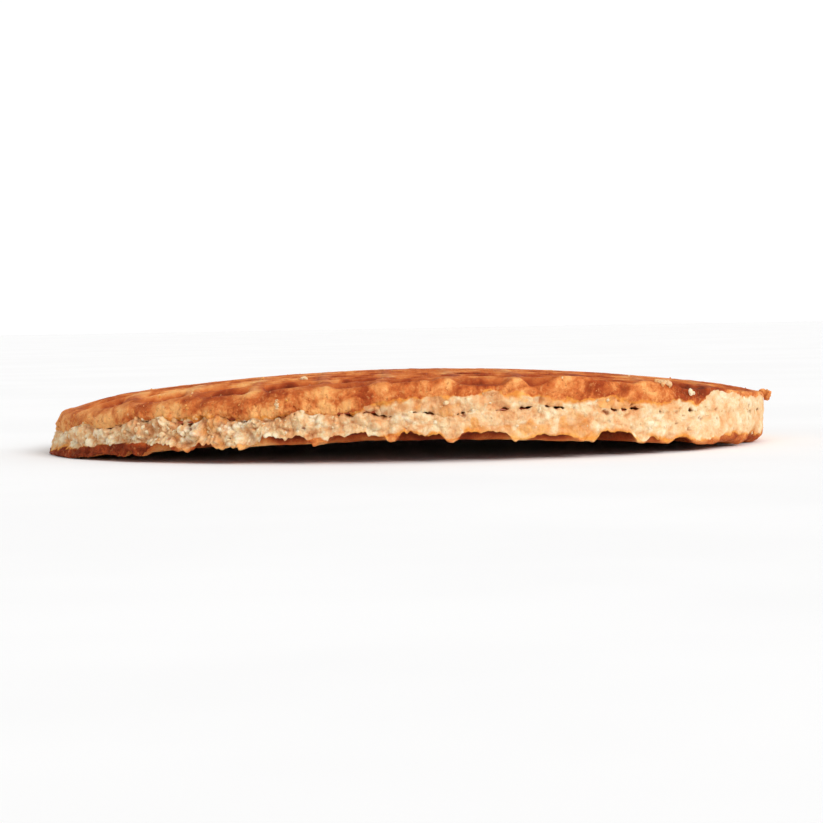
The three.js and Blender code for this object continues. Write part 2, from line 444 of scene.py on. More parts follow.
def seam_line(th, x, y):
    """Height of the join between the halves at the rim."""
    p = np.stack([x, y, np.zeros_like(x)], 1)
    mid = lower_inner(x, y) + seam_gap(x, y) / 2 + around(th, SEAM_LIFT)
    for a, half, _, rise in SLITS:
        d = (th - a + math.pi) % (2 * math.pi) - math.pi
        mid = mid + rise * R * d * np.clip(2.2 - np.abs(d) / half, 0, 1)
    stray = 1 - 0.75 * smooth(0.1, 0.35, -np.sin(th))
    return (mid + stray * (0.26 * vnoise(p, 4.5, 61) + 0.16 * vnoise(p, 1.3, 62)) + 0.09 * vnoise(p, 0.6, 63)
            + 0.06 * vnoise(p, 0.28, 64))


# How far down the baked colour reaches from the level of the outer face, in mm;
# how far the golden band below it goes; and how round the outer corner is.
UPPER_SKIN = dial([(60, 4.0), (200, 4.0), (320, 3.6), (345, 2.6), (380, 2.0), (400, 1.5), (430, 1.15),
                   (480, 1.1), (520, 1.5), (560, 1.9), (600, 1.9), (612, 1.5), (640, 2.0), (660, 2.3), (672, 2.2),
                   (680, 1.65), (690, 1.75), (697, 2.2), (704, 1.8), (712, 0.5), (720, 0.28), (745, 0.25)],
                  [(350, 0.5), (8, 1.3), (25, 0.8), (45, 1.5), (70, 0.9), (95, 1.3), (120, 1.8), (150, 3.2),
                   (180, 4.0)])
# How much of the upper half is bare just above the join, where the skin would
# otherwise reach it.
UPPER_BARE = dial([(60, -0.6), (92, -0.6), (108, 0.0), (140, 0.25), (158, 0.8), (190, 0.9), (212, 0.25), (250, 0.30),
                   (268, 0.7), (280, 0.9), (292, 0.30), (330, 0.35), (350, 0.60), (380, 1.0)],
                  [(90, 0.5), (150, 0.6), (175, -0.3)])
UPPER_GOLD = dial([(60, 0.8), (100, 0.9), (160, 1.5), (190, 1.5), (215, 1.0), (300, 1.2), (350, 1.3), (400, 1.3),
                   (440, 2.1), (462, 1.3), (520, 1.0), (560, 0.8), (600, 0.7), (620, 1.1), (640, 0.7), (700, 0.5),
                   (740, 0.3)],
                  [(0, 0.5), (45, 0.8), (90, 0.7), (135, 1.0), (180, 1.0)])
# At the lower left the baked colour reaches higher, partly as painted shade under the curved rim.
LOWER_SKIN = dial([(49, 0.0), (58, 0.15), (66, 0.7), (74, 1.0), (100, 1.25), (125, 1.25), (145, 0.95), (162, 0.50),
                   (185, 0.28), (250, 0.18), (312, 0.18), (320, 0.5),
                   (330, 0.18), (378, 0.2), (392, 0.55), (404, 0.3), (450, 0.2), (472, 0.45), (484, 0.18),
                   (516, 0.12), (580, 0.18), (650, 0.18), (690, 0.35), (706, 1.0), (730, 1.1), (755, 1.0)],
                  [(0, 0.7), (30, 0.4), (60, 0.2), (90, 0.5), (120, 0.2), (150, 0.5), (170, 0.6), (181, 0.1)])
LOWER_GOLD = dial([(52, 0.9), (75, 0.9), (100, 0.5), (140, 0.25), (300, 0.15), (312, 0.6), (328, 0.6), (340, 0.2),
                   (365, 0.7), (385, 1.9), (420, 1.6), (440, 1.6), (456, 1.9), (472, 0.9), (500, 0.8), (520, 1.4), (545, 0.9), (570, 1.4),
                   (600, 1.2), (640, 1.5), (700, 0.9),
                   (750, 0.5)],
                  [(0, 0.5), (60, 0.9), (120, 0.8), (180, 0.6)])
# How wide the baked colour is along the very edge.
LOWER_EDGE = dial([(52, 0.2), (70, 0.4), (130, 0.3), (150, -0.4), (310, -0.5), (322, 0.0), (332, -0.5),
                   (380, -0.3), (395, 0.0), (410, -0.5), (470, 0.0), (482, -0.5), (690, -0.5), (705, 0.3), (725, 0.0), (740, -0.7)],
                  [(0, -0.7), (20, -0.2), (30, 0.1), (50, -0.4), (150, -0.3), (175, 0.2)])
BLOTCH = dial([(52, 0.15), (100, 0.25), (200, 0.50), (330, 0.60), (420, 0.6), (650, 0.5), (690, 0.25), (750, 0.15)],
              [(0, 0.2), (60, 0.6), (120, 0.6), (180, 0.4)])
UPPER_ROUND = dial([(56, 2.1), (75, 2.0), (100, 1.7), (150, 1.7), (250, 1.6), (340, 1.1), (420, 0.7), (520, 0.45), (600, 0.45),
                    (700, 0.3), (740, 0.3)],
                   [(350, 0.5), (10, 0.6), (60, 0.7), (110, 1.1), (180, 2.0)])
LOWER_ROUND = dial([(52, 0.5), (120, 0.4), (160, 0.14), (640, 0.14), (700, 0.6), (740, 1.4), (755, 1.8)],
                   [(0, 1.6), (25, 0.5), (50, 0.15), (150, 0.15), (172, 0.4), (180, 0.5)])
LEDGE = dial([(50, 0.15), (80, 0.30), (320, 0.35), (370, 0.28), (400, 0.14), (480, 0.06), (560, 0.06), (610, 0.0), (750, 0.0)],
             [(0, 0.0), (40, 0.1), (80, 0.35), (150, 0.3), (180, 0.2)])
# How far the clumps of the lower half stick up in front of the upper one.
TUFTS = dial([(54, 0.0), (72, 0.35), (130, 0.55), (170, 0.40), (230, 0.50), (330, 0.45), (400, 0.30), (450, 0.15),
              (520, 0.08), (600, 0.0)],
             [(0, 0.0), (40, 0.0), (80, 0.25), (150, 0.35), (175, 0.2)])
CLUMPS = dial([(50, 0.25), (62, 0.5), (90, 0.9), (200, 1.0), (260, 0.8), (330, 0.5), (420, 0.35), (560, 0.3),
               (640, 0.3), (700, 0.12), (750, 0.06)],
              [(0, 0.1), (30, 0.35), (80, 0.7), (130, 0.5), (165, 0.9), (185, 0.8)])
# Where the broken crumb is lighter or darker.
CUT_TONE = dial([(50, 0.04), (90, 0.06), (200, 0.06), (330, 0.0), (440, -0.02), (540, -0.03), (600, 0.02), (620, 0.04), (680, 0.04), (755, 0.02)],
                [(0, 0.02), (60, 0.0), (150, 0.0), (180, 0.03)])
# How much shallower the pockets get where the rim cuts them, and how far the
# lower grid is shifted there.
UPPER_FADE = dial([(60, 0.92), (200, 0.88), (330, 0.75), (370, 0.82), (430, 0.75), (450, 0.5), (470, 0.2), (495, 0.2), (520, 0.30), (534, 0.12), (552, 0.15), (566, 0.55), (600, 0.6),
                   (640, 0.5), (700, 0.6),
                   (716, 0.95)],
                  [(0, 0.95), (22, 0.9), (35, 0.4), (60, 0.3), (120, 0.5), (180, 0.75)])
LOWER_FADE = dial([(60, 0.97), (125, 0.9), (150, 0.5), (250, 0.2), (500, 0.1), (650, 0.15), (700, 0.45),
                   (718, 0.85)],
                  [(0, 0.9), (25, 0.3), (60, 0.1), (150, 0.3), (165, 0.9), (180, 0.97)])
LOWER_SHIFT = dial([(280, 0.0), (319, 0.7), (390, 1.3), (425, 0.4), (452, 0.1), (520, 0.0), (535, 0.8), (560, 2.0), (570, 1.9),
                    (587, 1.2), (600, 0.6), (616, 0.0), (645, -0.9), (690, -1.2), (720, -0.5), (745, 0.0)], [(90, 0.0)])
LOWER_SLIP = dial([(540, 0.0), (553, 0.4), (562, 0.85), (578, 0.85), (592, 0.2), (600, 0.0)], [(90, 0.0)])

# How much the rim curls up, in mm, and how far the upper grid is shifted there.
UPPER_LIFT = dial([(350, 0.0), (380, 0.20), (402, 0.42), (425, 0.55), (445, 0.35), (500, 0.28), (515, 0.35), (545, 0.34), (565, 0.60),
                   (605, 0.55), (640, 0.30), (675, 0.08), (700, 0.0)], [(0, 0.0), (180, 0.0)])
UPPER_SHIFT = dial([(330, 0.0), (370, -1.3), (450, -1.8), (527, -1.3), (594, -1.5), (650, -1.0), (700, 0.0)],
                   [(0, 0.0), (180, 0.0)])
# How much paler the ridges are where they reach the rim: partly a lighter bake, partly painted highlight where they
# catch the light.
RIM_PALE = dial([(60, -0.03), (200, 0.02), (240, 0.16), (270, 0.20), (330, 0.18), (358, 0.0), (372, -0.14), (392, -0.12),
                 (405, -0.02), (440, -0.03), (495, 0.10), (515, 0.06), (550, 0.10), (562, -0.06), (590, -0.06), (610, -0.04),
                 (660, -0.05), (720, -0.06)],
                [(0, 0.0), (60, 0.12), (120, 0.1), (180, 0.0)])

# Patches of the top face near the front rim that are darker or paler: partly baked colour, partly painted shade and
# painted highlight where the grid catches the light.
FRONT_BAKE_AND_LIGHT = dial([(62, -0.05), (110, -0.14), (175, -0.14), (205, 0.02), (235, -0.06), (262, 0.12), (290, 0.0), (338, 0.20), (360, 0.18), (368, 0.10),
                   (385, 0.10), (400, 0.05), (430, 0.06), (464, 0.0), (470, 0.24), (486, 0.22), (494, -0.10), (512, -0.02),
                   (520, 0.0), (530, 0.26), (553, 0.28), (562, 0.06), (585, 0.08), (600, 0.06), (640, 0.14), (690, 0.18), (720, 0.10)],
                  [(0, 0.0), (180, 0.0)])

COLUMNS = 2940
ROWS = 28
FACE_STEP = 0.30


def billow(p, scale, seed):
    """Puffy lumps with sharp valleys, about -0.35 to 0.65."""
    return np.abs(vnoise(p, scale, seed)) * 1.6 - 0.42


def crumb_relief(P, C, inside):
    """Relief of broken crumb, the same field for both halves so that they meet
    flush: push in mm, painted shade 0-1 for crevices and pores, tone 0-1 that is
    lighter on the raised lumps as painted light.  Holes stay inside the edges."""
    # the ends of the wafel are seen at a slant: there the lumps are longer round it
    P = P * np.array([1.0, 0.52, 1.0])
    flat = P * np.array([1.0, 1.0, 1.1])
    b1, c1, t1 = chunks(warp(flat, 1.2, 0.40, 401), 2.1, 411, 1.2, 1.3)
    b2, c2, t2 = chunks(warp(flat, 0.5, 0.22, 421), 1.0, 431, 1.2, 1.2)
    puff = billow(warp(flat, 0.7, 0.25, 501), 0.95, 503)
    puff2 = billow(warp(flat, 0.3, 0.10, 504), 0.45, 505)
    grit = vnoise(P, 0.24, 441)
    score = vnoise(P * np.array([1.0, 1.0, 0.22]), 0.55, 443)
    hole = pores(warp(P * np.array([1.0, 1.0, 1.5]), 0.4, 0.20, 451), 1.15, 461, 0.40, 0.12, 0.32)
    cave = pores(warp(P * np.array([1.0, 1.0, 1.4]), 0.9, 0.4, 471), 3.0, 481, 0.32, 0.3, 0.8)
    dot = pores(warp(P * np.array([1.0, 1.0, 1.3]), 0.3, 0.12, 472), 1.9, 482, 0.42, 0.13, 0.27)
    hole, cave, dot = hole * inside, cave * inside, dot * inside
    low = vnoise(P, 5.0, 491)
    push = (0.60 * C * (b1 - 0.10) + 0.40 * C * (b2 - 0.05) - 0.16 * C * c1 - 0.06 * C * c2
            + (0.08 + 0.18 * C) * puff + (0.03 + 0.11 * C) * puff2 + (0.02 + 0.035 * C) * grit
            + 0.012 * (1 - C) * score
            - (0.26 + 0.1 * C) * hole - 0.36 * dot - 0.32 * (0.25 + C) * cave + 0.14 * low)
    valley = 1 - smooth(0.0, 0.16, puff + 0.42)
    valley2 = 1 - smooth(0.0, 0.14, puff2 + 0.42)
    # painted shade: darker in the pores, caves, creases and the valleys between lumps
    shade = np.clip(0.85 * hole + 1.3 * dot + 0.5 * cave + 0.42 * C * c1 + 0.18 * C * c2
                    + (0.10 + 0.2 * C) * valley + (0.06 + 0.08 * C) * valley2, 0, 1)
    # painted light: the raised lumps get a lighter tone and the valleys a darker one
    rise = C * (0.55 * b1 + 0.70 * b2) + (0.2 + 0.25 * C) * puff + (0.1 + 0.15 * C) * puff2
    tone = np.clip(0.52 + 0.09 * C + 0.34 * rise + 0.24 * vnoise(P, 1.7, 507) + 0.16 * vnoise(P, 0.55, 508)
                   + 0.16 * C * (t1 - 0.5), 0, 1)
    return push, shade, tone


def build_half(kind, upper, material):
    """The baked plate of a half and its cut rim: two closed pieces, which meet
    where the corner starts to turn."""
    seed = 40 if upper else 20
    sgn = 1.0 if upper else -1.0
    skew = GRID_SKEW if upper else 0.0
    n = COLUMNS
    fade_table = UPPER_FADE if upper else LOWER_FADE

    def curl(x, y):
        return around(np.arctan2(y, x), UPPER_LIFT) * smooth(R - 7.0, R - 1.5, np.hypot(x, y))

    def level(x, y):
        return upper_tips(x, y) - rim_dip(x, y) + curl(x, y) if upper else lower_tips(x)

    def room(x, y):
        pull = np.minimum(1.0, R / np.maximum(np.hypot(x, y), 1e-6))
        inner = upper_inner(x * pull, y * pull) if upper else lower_inner(x * pull, y * pull)
        return np.abs(level(x * pull, y * pull) - inner)

    def outer(x, y):
        """Height of the baked face, how deep in a pocket, and its painted shade in pits and creases, with a random tone
        for each pocket.
        """
        az = np.arctan2(y, x)
        rimward = smooth(R - 6.5, R - 1.0, np.hypot(x, y))
        outward = smooth(R - 16, R - 4, np.hypot(x, y))
        shift = around(az, UPPER_SHIFT if upper else LOWER_SHIFT) * outward
        slip = 0.0 if upper else around(az, LOWER_SLIP) * outward
        s, share, tint = pocket(x, y, skew, seed, shift, slip)
        depth = np.clip(room(x, y) - PLATE_MIN, 0.12, POCKET_DEPTH)
        depth = depth * (1 - around(az, fade_table) * rimward)
        p = np.stack([x, y, np.full_like(x, 9.0 * seed)], 1)
        z = (upper_tips(x, y) if upper else lower_tips(x)) - sgn * depth * share * s
        calm = 0.33 + 0.67 * smooth(R - 12, R - 4, np.hypot(x, y))
        relief = 0.14 * fbm(p, 4.2, 4, seed + 2) + 0.06 * fbm(p, 1.2, 2, seed + 5)
        crease = 1 - np.minimum(1, np.abs(vnoise(warp(p, 2.0, 0.5, seed + 8), 2.6, seed + 12)) / 0.10)
        blister = pores(warp(p, 1.5, 0.4, seed + 14), 2.3, seed + 6, 0.45, 0.35, 1.0)
        pit = pores(warp(p, 0.8, 0.25, seed + 15), 1.5, seed + 7, 0.34, 0.16, 0.45)
        z = z + sgn * calm * (relief + 0.09 * blister - 0.22 * pit - 0.07 * crease - 0.03)
        # torn, crumbly edge where the grid is cut
        frayed = smooth(R - 1.5, R - 0.3, np.hypot(x, y)) * (0.5 if upper else 1.0)
        edge = np.stack([R * np.cos(az), R * np.sin(az), np.full_like(x, 9.0 * seed)], 1)
        torn = 0.42 * vnoise(edge, 0.9, seed + 16) + 0.34 * vnoise(edge, 0.36, seed + 17)
        end = 1 - smooth(R - 14, R - 6, -x)      # the left end is cut clean
        even = 1 - 0.55 * smooth(1.0, 6.0, x)    # the right half tears straighter
        z = z - sgn * frayed * (np.abs(torn) if upper else 0.75 * torn * end * even)
        if upper:
            z = z - rim_dip(x, y) + curl(x, y)
        # the third value is painted shade in the pits and creases of the skin, plus a random tone for each pocket
        return (z, np.clip(s * depth / POCKET_DEPTH, 0, 1),
                np.clip(pit + 0.3 * crease + 0.35 * (tint - 0.5), 0, 1))

    th = np.arange(n) / n * 2 * np.pi
    dirx, diry = np.cos(th), np.sin(th)
    rad = outline(th, upper) + nicks(th, seed + 11)
    if upper:
        rad = rad + 0.30 * smooth(math.pi - 0.5, math.pi - 0.15, th) * (1 - smooth(math.pi + 0.3, math.pi + 0.75, th))
    else:
        rad = rad + 0.38 * smooth(math.pi - 0.55, math.pi - 0.2, th) * (1 - smooth(math.pi + 0.3, math.pi + 0.75, th))
    join = join_radius(th)
    rim = np.stack([R * dirx, R * diry, np.zeros(n)], 1)
    x1, y1 = join * dirx, join * diry

    corner = around(th, UPPER_ROUND if upper else LOWER_ROUND)
    corner = corner * (1 + 0.30 * vnoise(rim, 3.0, seed + 13))
    seam = seam_line(th, x1, y1)
    slit = slit_height(th, rim)
    edge = seam + sgn * (0.5 * slit - 0.04 * (1 - np.clip(slit / 0.1, 0, 1)))

    # outer face, out to where the corner starts to turn
    bx, by = (rad - corner) * dirx, (rad - corner) * diry
    lattice = hexes(R, FACE_STEP)
    a = np.arctan2(lattice[:, 1], lattice[:, 0])
    r = np.hypot(lattice[:, 0], lattice[:, 1])
    limit = np.interp(a % (2 * np.pi), np.append(th, 2 * np.pi), np.append(rad - corner, (rad - corner)[0]))
    lattice = lattice[r < limit - 0.30]
    r2 = (rad - corner - 0.13)[::2]
    ring2 = np.stack([r2 * dirx[::2], r2 * diry[::2]], 1)
    face_pts = np.concatenate([ring2, lattice])
    tri_face = fill_disc(np.stack([bx, by], 1), face_pts)

    fx = np.concatenate([bx, face_pts[:, 0]])
    fy = np.concatenate([by, face_pts[:, 1]])
    fz, fpit, fpit_shade = outer(fx, fy)
    nf = len(fx)

    # rim wall: a quarter ellipse, then down to the seam, where both halves meet
    zb = fz[:n]
    height = np.maximum(np.abs(zb - edge), 0.35)
    cz = np.minimum(corner * (1.2 if upper else 1.0), height * 0.92)
    bend = 1.57 * np.sqrt((corner ** 2 + cz ** 2) / 2)
    length = bend + (height - cz)
    rows = ROWS
    S, ANG, RR, Z = [], [], [], []
    for k in range(1, rows + 1):
        s = length * k / rows
        ang = np.minimum(1.0, s / bend) * np.pi / 2
        down = cz * (1 - np.cos(ang)) + np.maximum(0.0, s - bend)
        lean = down / height
        S.append(s)
        ANG.append(ang)
        RR.append(rad - corner * (1 - np.sin(ang)) - (rad - join) * lean)
        Z.append(zb - sgn * down)
    S, ANG, RR, Z = (np.concatenate(v) for v in (S, ANG, RR, Z))
    TH = np.tile(th, rows)
    K = np.repeat(np.arange(1, rows + 1), n) / rows
    PX, PY = RR * np.cos(TH), RR * np.sin(TH)
    P = np.stack([PX, PY, Z], 1)

    C = np.tile(around(th, CLUMPS), rows)
    D = np.tile(around(th, UPPER_SKIN if upper else LOWER_SKIN), rows)
    G = np.tile(around(th, UPPER_GOLD if upper else LOWER_GOLD), rows)
    D = D * (1 + 0.18 * vnoise(P, 5.0, seed + 20))
    if upper:
        D = D + np.tile(around(th, UPPER_LIFT), rows)
        D = np.minimum(D, np.tile(level(x1, y1) - seam - around(th, UPPER_BARE), rows))
    slant = P * np.array([1.0, 0.55, 1.0])
    rag = (0.34 * vnoise(slant, 1.5, seed + 21) + 0.22 * vnoise(slant, 0.6, seed + 22)
           + 0.10 * vnoise(slant, 0.3, seed + 23))
    depth = sgn * (level(PX, PY) - Z) + rag
    E = 0.22 if upper else np.tile(around(th, LOWER_EDGE), rows)
    near_face = S - 0.66 * np.tile(bend, rows) + 0.7 * rag
    sk = np.maximum(1 - smooth(-0.30, 0.45, depth - D), 1 - smooth(E - 0.16, E + 0.20, near_face))
    band = G * np.clip(0.7 + 1.1 * vnoise(slant, 2.4, seed + 26) + 0.5 * vnoise(slant, 0.8, seed + 27), 0.05, 1.6)
    gold = np.maximum(1 - smooth(-0.1, 1.2, (depth - D) / np.maximum(band, 0.1)),
                      (1 - smooth(E - 0.1, np.maximum(E, 0.0) + band, near_face)) * smooth(0.05, 0.45, band))
    blotch = smooth(0.25, 0.62, vnoise(slant, 3.2, seed + 24) + 0.35 * vnoise(slant, 0.9, seed + 25))
    gold = np.clip(np.maximum(gold, np.tile(around(th, BLOTCH), rows) * blotch) + 0.25 * rag, 0, 1)

    push, shade, tone = crumb_relief(P, C, smooth(0.12, 0.36, K) * smooth(0.45, 0.85, S))
    tone = tone + np.tile(around(th, CUT_TONE), rows)
    # the ends of the wafel are seen at a slant: there the knobs are longer round it
    wide = P * np.array([1.0, 0.46, 0.9])
    dent = pores(warp(wide, 1.2, 0.4, seed + 35), 2.6, seed + 36, 0.40, 0.5, 1.15)
    knob = chunks(warp(wide, 1.0, 0.40, seed + 37), 1.9, seed + 38, 1.1)[0]
    lump = billow(warp(wide, 0.9, 0.35, seed + 40), 1.5, seed + 41)
    grains = billow(warp(P, 0.4, 0.15, seed + 43), 0.60, seed + 44)
    skin_relief = (0.19 * fbm(wide, 2.2, 4, seed + 31, 0.62) + 0.09 * (knob - 0.1) + 0.09 * lump - 0.30 * dent
                   + 0.10 * fbm(P, 0.5, 2, seed + 39) + 0.04 * vnoise(P, 0.2, seed + 42)
                   + 0.14 * smooth(0.35, 0.80, K) * grains
                   + (0.12 + 0.45 * smooth(0.55, 0.95, K) if upper else 0.5) * push + 0.02)
    # painted shade in the dents and in the valleys between lumps and grains of the skin
    shade = np.where(sk > 0.5, np.clip(0.8 * dent + 0.2 * (1 - smooth(0.0, 0.25, lump + 0.42))
                                         + 0.4 * smooth(0.35, 0.80, K) * (1 - smooth(0.0, 0.2, grains + 0.42)), 0, 1), shade)
    push = sk * skin_relief + (1 - sk) * push
    turn = np.sin(ANG) ** 1.3
    push = push * (0.25 + 0.75 * turn)
    ledge = np.tile(around(th, LEDGE), rows) * np.clip(0.75 + 0.9 * vnoise(P, 3.5, 521), 0, 1.6)
    tuft = around(th, TUFTS) * np.clip(0.45 + 0.9 * vnoise(rim, 1.2, 531) + 0.6 * vnoise(rim, 0.45, 532), 0, 1.5)
    tuft = np.tile(tuft * (1 - 0.75 * np.clip(slit / 0.2, 0, 1)), rows)
    if upper:
        push = push - ledge * 0.8 * smooth(0.80, 1.0, K)
    else:
        push = push + ledge * (0.8 * smooth(0.25, 0.75, K) - 1.6 * smooth(0.92, 1.0, K))
        push = push + 0.30 * tuft * smooth(0.5, 0.8, K) * (1 - smooth(0.90, 1.0, K))
        Z = Z + tuft * smooth(0.5, 0.95, K)
    lip = smooth(0.86, 1.0, K) * np.tile(np.clip(slit_height(th) / 0.3, 0, 1), rows)
    push = push - 0.16 * lip - (0.03 * smooth(0.96, 1.0, K) if upper else 0.0)
    if not upper:                                # thin there: the pocket is close behind
        push = np.maximum(push, -0.04 - 0.6 * smooth(0.25, 1.1, S))
    NR, NZ = np.sin(ANG), np.cos(ANG) * sgn
    RR = RR + push * NR
    Z = Z + push * NZ
    W = np.stack([RR * np.cos(TH), RR * np.sin(TH), Z], 1)
    if not upper:
        W[:, 2] = np.maximum(W[:, 2], 0.02)
        fz = np.maximum(fz, 0.02)

    # darker in the pockets and underneath: partly a deeper bake, partly painted shade where pockets and the underside
    # lie in shadow; golden towards the seam
    near_rim = smooth(R - 5.0, R - 1.2, np.hypot(fx, fy))
    if upper:
        faz = np.arctan2(fy, fx)
        fbake_shade = 0.50 * fpit + 0.10 - around(faz, RIM_PALE) * (1 - fpit) * near_rim
        fbake_shade = fbake_shade + around(faz, FRONT_BAKE_AND_LIGHT) * smooth(12.0, 26.0, np.hypot(fx, fy)) * smooth(R + 0.5, R - 3.5, np.hypot(fx, fy))
    else:
        # the whole underside is darker, partly as painted shade
        fbake_shade = 0.54 * fpit + 0.26 - 0.40 * (1 - fpit) * near_rim
    wbake_shade = np.tile(fbake_shade[:n] - (0.07 if upper else 0.0), rows) * (1 - 0.8 * K)
    if upper:
        wbake_shade = wbake_shade - 0.20 * smooth(0.25, 0.9, K) * np.tile(around(th, UPPER_SKIN) > 2.5, rows)
    else:
        # painted shade: the lower left rim, which curves under, is darkened as if in shadow
        left = smooth(2.75, 3.05, th) * (1 - smooth(3.95, 4.2, th))
        right = np.tile(smooth(2 * math.pi - 1.0, 2 * math.pi - 0.6, th), rows)
        wbake_shade = wbake_shade + 0.62 * np.tile(left, rows) + 0.06 * right

    verts = [np.stack([fx, fy, fz], 1), W]
    skin = [np.ones(nf), sk]
    golden = [np.ones(nf), gold]
    pit = [fbake_shade, wbake_shade]
    # painted shade: the crumb's crevices and pores, above the slits, and the skin's pits and creases; on the face it
    # also carries a random tone for each pocket
    painted_shade = [fpit_shade * 0.7, np.clip(shade + 0.5 * lip * smooth(0.92, 1.0, K), 0, 1)]
    tonal = [np.full(nf, 0.5), tone]
    level_top = [np.ones(nf), 1 - np.sin(ANG)]
    curdled = [np.ones(nf), np.minimum(0.45 + 1.1 * C, 1.15)]

    quads = []
    prev = 0
    base = nf
    for k in range(rows):
        quads.append(strips(prev, base + k * n, n, upper))
        prev = base + k * n
    base = nf + rows * n

    # the lip runs in to the inner face
    last_z, last_r = W[-n:, 2], RR[-n:]
    gape = np.clip(slit / 0.15, 0, 1)
    for back, share, tuck in [(0.35, 0.15, 0.10), (0.8, 0.45, 0.30), (1.4, 0.8, 0.55), (2.2, 1.0, 0.8)]:
        lr = np.minimum(join - back, last_r - tuck)
        lx, ly = lr * dirx, lr * diry
        inner = upper_inner(lx, ly) if upper else lower_inner(lx, ly)
        p = np.stack([lx, ly, inner], 1)
        z = last_z * (1 - share) + inner * share + 0.07 * vnoise(p, 0.6, seed + 34) * (1 - share)
        verts.append(np.stack([lx, ly, z], 1))
        # painted shade inside the slits and towards the hidden inner face
        slit_shade = 0.9 * np.maximum(gape, smooth(0.3, 1.2, back))
        for lst, v in ((skin, 0.0), (golden, 0.5), (pit, 0.0), (painted_shade, slit_shade), (tonal, 0.4), (level_top, 0.0),
                       (curdled, 1.0)):
            lst.append(np.full(n, v) if isinstance(v, float) else v)
        quads.append(strips(prev, base, n, upper))
        prev = base
        base += n
    coarse = hexes(R - 3.6, 3.0)
    tri_in = fill_disc(np.stack([lx, ly], 1), coarse)
    zc = upper_inner(coarse[:, 0], coarse[:, 1]) if upper else lower_inner(coarse[:, 0], coarse[:, 1])
    verts.append(np.stack([coarse[:, 0], coarse[:, 1], zc], 1))
    for lst, v in ((skin, 0.0), (golden, 0.6), (pit, 0.0), (painted_shade, 0.9), (tonal, 0.3), (level_top, 0.0),
                   (curdled, 1.0)):
        lst.append(np.full(len(coarse), v))
    tri_in = np.where(tri_in < n, tri_in + prev, tri_in - n + base)

    tri_face = tri_face if upper else tri_face[:, ::-1]
    tri_in = tri_in[:, ::-1] if upper else tri_in
    verts = np.concatenate(verts) + PLACE
    quads = np.concatenate(quads)
    fields = {"skin": skin, "gold": golden, "bake_and_shade": pit, "painted_shade": painted_shade, "tone": tonal, "flat": level_top,
              "curdled": curdled}
    fields = {key: np.concatenate(v) for key, v in fields.items()}
    normals = vertex_normals(verts, np.concatenate([tri_face, tri_in]), quads)
    shown = nf + rows * n                        # the lip must not tilt the last row of the wall
    normals[:shown] = vertex_normals(verts[:shown], tri_face, quads[:rows * n])
    hidden = strips(0, prev, n, upper)           # where plate and rim touch inside
    pieces = []
    for name, t, q in (("baked_face_" + kind, np.concatenate([tri_face, tri_in]), hidden),
                       ("cut_rim_" + kind, np.zeros((0, 3), dtype=np.int64),
                        np.concatenate([quads, hidden[:, ::-1]]))):
        used = np.unique(np.concatenate([t.ravel(), q.ravel()]))
        back = np.zeros(len(verts), dtype=np.int64)
        back[used] = np.arange(len(used))
        pieces.append(make_mesh(name, verts[used], back[t], back[q], {key: v[used] for key, v in fields.items()},
                                material, normals[used]))
    normal = np.stack([NR * np.cos(TH), NR * np.sin(TH), NZ], 1)
    wall = {"at": W + PLACE, "normal": normal, "skin": sk, "gold": gold, "clump": C, "tone": tone,
            "open": np.tile(slit, rows), "k": K}
    return pieces, wall


# ------------------------------------------------------------------ crumbs


def ball(level):
    """A round mesh of 80 or 320 triangles to break crumbs from."""
    bm = bmesh.new()
    bmesh.ops.create_icosphere(bm, subdivisions=level, radius=1.0)
    v = np.array([tuple(p.co) for p in bm.verts])
    f = np.array([[p.index for p in t.verts] for t in bm.faces])
    bm.free()
    return v, f


def fragments(V, at, size, rng, seed):
    """Broken, angular grains: a ball cut by random planes."""
    n, m = len(at), len(V)
    planes = rng.normal(size=(n, 11, 3))
    planes /= np.linalg.norm(planes, axis=2)[:, :, None]
    far = rng.uniform(0.55, 1.0, size=(n, 11))
    facing = np.maximum(np.einsum("nkj,mj->nmk", planes, V), 0.02)
    r = np.minimum((far[:, None, :] / facing).min(2), 1.2)
    shift = rng.uniform(-500, 500, size=(n, 1, 3))
    p = (V[None] * 1.0 + shift).reshape(-1, 3)
    rough = (0.20 * vnoise(p, 0.9, seed + 1) + 0.16 * vnoise(p, 0.4, seed + 2)).reshape(n, m)
    stretch = rng.uniform(0.75, 1.2, size=(n, 1, 3))
    pts = V[None] * stretch * ((r + rough) * np.asarray(size)[:, None])[:, :, None]
    return pts + np.asarray(at)[:, None, :], r + rough


def crumb_mesh(name, at, size, tone, gold, skin, seed, material):
    """One piece of many small broken grains; size is each grain's radius."""
    rng = np.random.default_rng(seed)
    at, size, tone, gold, skin = (np.asarray(v, float) for v in (at, size, tone, gold, skin))
    verts, faces, low, base = [], [], [], 0
    keep = []
    for level, chosen in ((2, size < 0.24), (3, size >= 0.24)):
        pick = np.nonzero(chosen)[0]
        if len(pick) == 0:
            continue
        V, F = ball(level)
        pts, r = fragments(V, at[pick], size[pick], rng, seed)
        verts.append(pts.reshape(-1, 3))
        faces.append((F[None] + (np.arange(len(pick)) * len(V))[:, None, None]).reshape(-1, 3) + base)
        # painted shade where a grain's surface is cut in
        low.append(np.clip((0.85 - r.reshape(-1)) * 1.2, 0, 0.5))
        keep.append(np.repeat(pick, len(V)))
        base += len(pick) * len(V)
    keep = np.concatenate(keep)
    return make_mesh(name, np.concatenate(verts), np.concatenate(faces), np.zeros((0, 4), dtype=np.int64),
                     {"skin": skin[keep], "gold": gold[keep], "bake_and_shade": np.zeros(len(keep)),
                      "painted_shade": np.concatenate(low), "tone": tone[keep], "flat": np.zeros(len(keep)),
                      "curdled": np.ones(len(keep))}, material)


